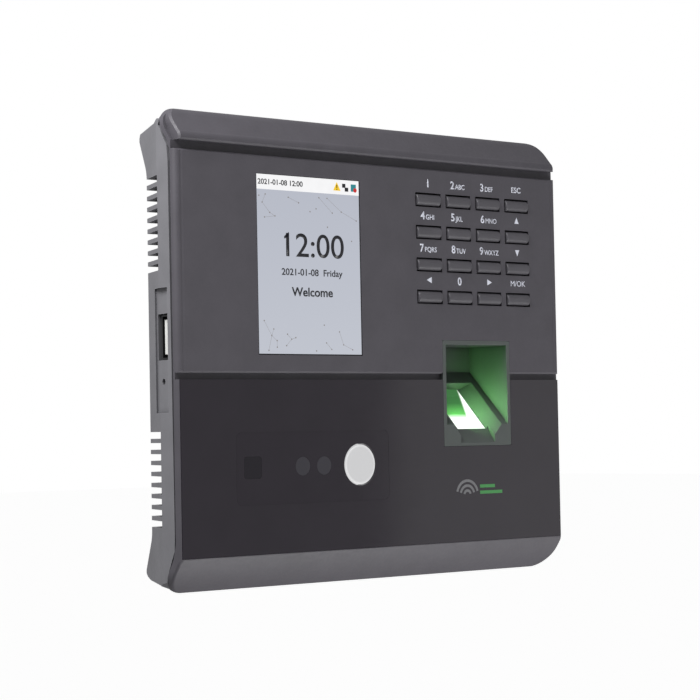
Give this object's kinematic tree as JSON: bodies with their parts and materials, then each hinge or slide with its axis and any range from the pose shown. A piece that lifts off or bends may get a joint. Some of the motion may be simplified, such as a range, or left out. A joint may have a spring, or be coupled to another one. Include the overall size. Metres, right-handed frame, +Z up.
{
  "type": "fingerprint scanner terminal",
  "caption": "Wall-mounted access terminal with a portrait display, keypad, sloping fingerprint prism in a lit well, glossy camera window and vented rear shell on a wall plate.",
  "frame": {"origin": "on the wall at the centre of the four wall-screw holes", "axes": "+Y into the wall, +Z up, +X to the right of a person facing the terminal; the front looks along -Y"},
  "size_m": [0.1676, 0.032, 0.1514],
  "materials": {
    "shell_plastic": "fine-textured dark grey moulding",
    "rear_plastic": "fine-textured mid grey moulding",
    "window_gloss": "polished dark window",
    "inlay_gloss": "polished infrared-pass strip",
    "dark_lens": "smoked lens",
    "display_glass": "clear display cover",
    "white_plastic": "white moulding",
    "key_plastic": "satin key cap",
    "housing_plastic": "satin dark grey",
    "prism_glass": "polished optical prism",
    "circuit_board": "solder mask green",
    "plate_steel": "grey coated sheet",
    "bright_metal": "tinned connector shell",
    "screw_steel": "zinc plated",
    "contact_gold": "gold plated",
    "soft_rubber": "silicone",
    "black_plastic": "moulded black",
    "battery_wrap": "shrink wrap",
    "led_resin": "cast resin"
  },
  "bodies": {
    "terminal": {"backup_battery": "battery_wrap", "board_chips": "black_plastic", "board_screws": "screw_steel", "camera_module": "black_plastic", "camera_window": "dark_lens", "display_gasket": "soft_rubber", "display_lens": "display_glass", "ethernet_jack": "bright_metal", "fingerprint_board": "circuit_board", "fingerprint_housing": "housing_plastic", "fingerprint_leds": "led_resin", "fingerprint_prism": "prism_glass", "fingerprint_sensor": "black_plastic", "front_shell": "shell_plastic", "header_pins": "contact_gold", "ir_leds": "led_resin", "ir_windows": "dark_lens", "key_domes": "contact_gold", "keypad_board": "circuit_board", "keypad_mat": "soft_rubber", "keypad_screws": "screw_steel", "lcd_frame": "plate_steel", "lcd_panel": "display_glass", "light_board": "circuit_board", "light_diffuser": "white_plastic", "lock_relay": "black_plastic", "lock_screw": "screw_steel", "main_board": "circuit_board", "optics_inlay": "inlay_gloss", "rear_shell": "rear_plastic", "reset_switch": "black_plastic", "shell_screws": "screw_steel", "speaker": "black_plastic", "tamper_switch": "black_plastic", "usb_contacts": "contact_gold", "usb_shell": "bright_metal", "usb_tongue": "white_plastic", "wall_plate": "plate_steel", "white_leds": "led_resin", "window_lens": "window_gloss", "wiring_headers": "white_plastic"},
    "key_0": {"key_0": "key_plastic"},
    "key_1": {"key_1": "key_plastic"},
    "key_2": {"key_2": "key_plastic"},
    "key_3": {"key_3": "key_plastic"},
    "key_4": {"key_4": "key_plastic"},
    "key_5": {"key_5": "key_plastic"},
    "key_6": {"key_6": "key_plastic"},
    "key_7": {"key_7": "key_plastic"},
    "key_8": {"key_8": "key_plastic"},
    "key_9": {"key_9": "key_plastic"},
    "key_down": {"key_down": "key_plastic"},
    "key_esc": {"key_esc": "key_plastic"},
    "key_left": {"key_left": "key_plastic"},
    "key_ok": {"key_ok": "key_plastic"},
    "key_right": {"key_right": "key_plastic"},
    "key_up": {"key_up": "key_plastic"},
    "reset_button": {"reset_plunger": "black_plastic"},
    "tamper_button": {"tamper_plunger": "black_plastic"}
  },
  "joints": [
    {"name": "key_0_press", "type": "slide", "parent": "terminal", "child": "key_0", "axis": [0, 1, 0], "range_m": [0, 0.001], "stiffness_N_per_m": 900, "springref_m": -0.0004},
    {"name": "key_1_press", "type": "slide", "parent": "terminal", "child": "key_1", "axis": [0, 1, 0], "range_m": [0, 0.001], "stiffness_N_per_m": 900, "springref_m": -0.0004},
    {"name": "key_2_press", "type": "slide", "parent": "terminal", "child": "key_2", "axis": [0, 1, 0], "range_m": [0, 0.001], "stiffness_N_per_m": 900, "springref_m": -0.0004},
    {"name": "key_3_press", "type": "slide", "parent": "terminal", "child": "key_3", "axis": [0, 1, 0], "range_m": [0, 0.001], "stiffness_N_per_m": 900, "springref_m": -0.0004},
    {"name": "key_4_press", "type": "slide", "parent": "terminal", "child": "key_4", "axis": [0, 1, 0], "range_m": [0, 0.001], "stiffness_N_per_m": 900, "springref_m": -0.0004},
    {"name": "key_5_press", "type": "slide", "parent": "terminal", "child": "key_5", "axis": [0, 1, 0], "range_m": [0, 0.001], "stiffness_N_per_m": 900, "springref_m": -0.0004},
    {"name": "key_6_press", "type": "slide", "parent": "terminal", "child": "key_6", "axis": [0, 1, 0], "range_m": [0, 0.001], "stiffness_N_per_m": 900, "springref_m": -0.0004},
    {"name": "key_7_press", "type": "slide", "parent": "terminal", "child": "key_7", "axis": [0, 1, 0], "range_m": [0, 0.001], "stiffness_N_per_m": 900, "springref_m": -0.0004},
    {"name": "key_8_press", "type": "slide", "parent": "terminal", "child": "key_8", "axis": [0, 1, 0], "range_m": [0, 0.001], "stiffness_N_per_m": 900, "springref_m": -0.0004},
    {"name": "key_9_press", "type": "slide", "parent": "terminal", "child": "key_9", "axis": [0, 1, 0], "range_m": [0, 0.001], "stiffness_N_per_m": 900, "springref_m": -0.0004},
    {"name": "key_down_press", "type": "slide", "parent": "terminal", "child": "key_down", "axis": [0, 1, 0], "range_m": [0, 0.001], "stiffness_N_per_m": 900, "springref_m": -0.0004},
    {"name": "key_esc_press", "type": "slide", "parent": "terminal", "child": "key_esc", "axis": [0, 1, 0], "range_m": [0, 0.001], "stiffness_N_per_m": 900, "springref_m": -0.0004},
    {"name": "key_left_press", "type": "slide", "parent": "terminal", "child": "key_left", "axis": [0, 1, 0], "range_m": [0, 0.001], "stiffness_N_per_m": 900, "springref_m": -0.0004},
    {"name": "key_ok_press", "type": "slide", "parent": "terminal", "child": "key_ok", "axis": [0, 1, 0], "range_m": [0, 0.001], "stiffness_N_per_m": 900, "springref_m": -0.0004},
    {"name": "key_right_press", "type": "slide", "parent": "terminal", "child": "key_right", "axis": [0, 1, 0], "range_m": [0, 0.001], "stiffness_N_per_m": 900, "springref_m": -0.0004},
    {"name": "key_up_press", "type": "slide", "parent": "terminal", "child": "key_up", "axis": [0, 1, 0], "range_m": [0, 0.001], "stiffness_N_per_m": 900, "springref_m": -0.0004},
    {"name": "reset_press", "type": "slide", "parent": "terminal", "child": "reset_button", "axis": [1, 0, 0], "range_m": [0, 0.0003], "stiffness_N_per_m": 2500, "springref_m": -0.0002},
    {"name": "tamper_press", "type": "slide", "parent": "terminal", "child": "tamper_button", "axis": [0, -1, 0], "range_m": [0, 0.0004], "stiffness_N_per_m": 500, "springref_m": -0.0015}
  ]
}
